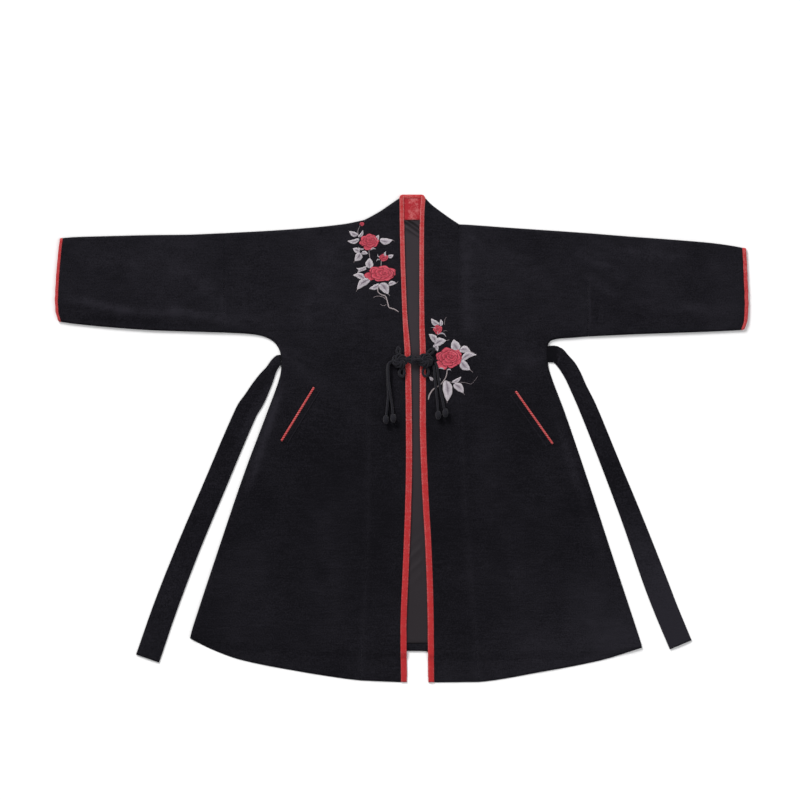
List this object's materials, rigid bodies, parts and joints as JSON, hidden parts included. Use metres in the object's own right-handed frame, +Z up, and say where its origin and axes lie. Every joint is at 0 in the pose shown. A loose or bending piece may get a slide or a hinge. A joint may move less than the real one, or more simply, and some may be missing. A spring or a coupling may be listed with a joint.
{
  "type": "open-front hanfu jacket",
  "caption": "Long open-front hanfu jacket in black velvet, laid flat with sleeves spread, with bound edges, slanted pockets, side ties and a knotted cord fastening.",
  "frame": {"origin": "on the surface that the garment lies on, under the middle of its outline", "axes": "+Y towards the collar, +X towards the wearer's left sleeve, +Z up from the surface; the garment lies on its back"},
  "size_m": [1.4231, 1.0007, 0.0222],
  "materials": {
    "black_velvet": "short-pile cotton velvet with fine irregular ribs, deep black with a soft grey sheen; two flower sprays embroidered on the fronts",
    "red_velvet": "red velvet binding and facing, matt",
    "charcoal_lining": "smooth satin-faced lining with a low sheen",
    "black_cord": "twisted cord, matt black"
  },
  "bodies": {
    "root": {"back": "black_velvet", "collar_back": "black_velvet", "front_right": "black_velvet", "front_left": "black_velvet", "band_right": "black_velvet", "band_left": "black_velvet", "sleeve_right": "black_velvet", "sleeve_left": "black_velvet", "side_tie_right": "black_velvet", "side_tie_left": "black_velvet", "pocket_welt_right": "black_velvet", "pocket_welt_left": "black_velvet", "neck_facing": "red_velvet", "edge_binding": "red_velvet", "cuff_binding_right": "red_velvet", "cuff_binding_left": "red_velvet", "pocket_piping_right": "red_velvet", "pocket_piping_left": "red_velvet", "back_lining": "charcoal_lining", "frog_loop_right": "black_cord", "frog_button_left": "black_cord", "frog_tail_right_1": "black_cord", "frog_tail_right_2": "black_cord", "frog_tail_left_1": "black_cord", "frog_tail_left_2": "black_cord", "frog_end_knot_right_1": "black_cord", "frog_end_knot_right_2": "black_cord", "frog_end_knot_left_1": "black_cord", "frog_end_knot_left_2": "black_cord"}
  },
  "joints": []
}
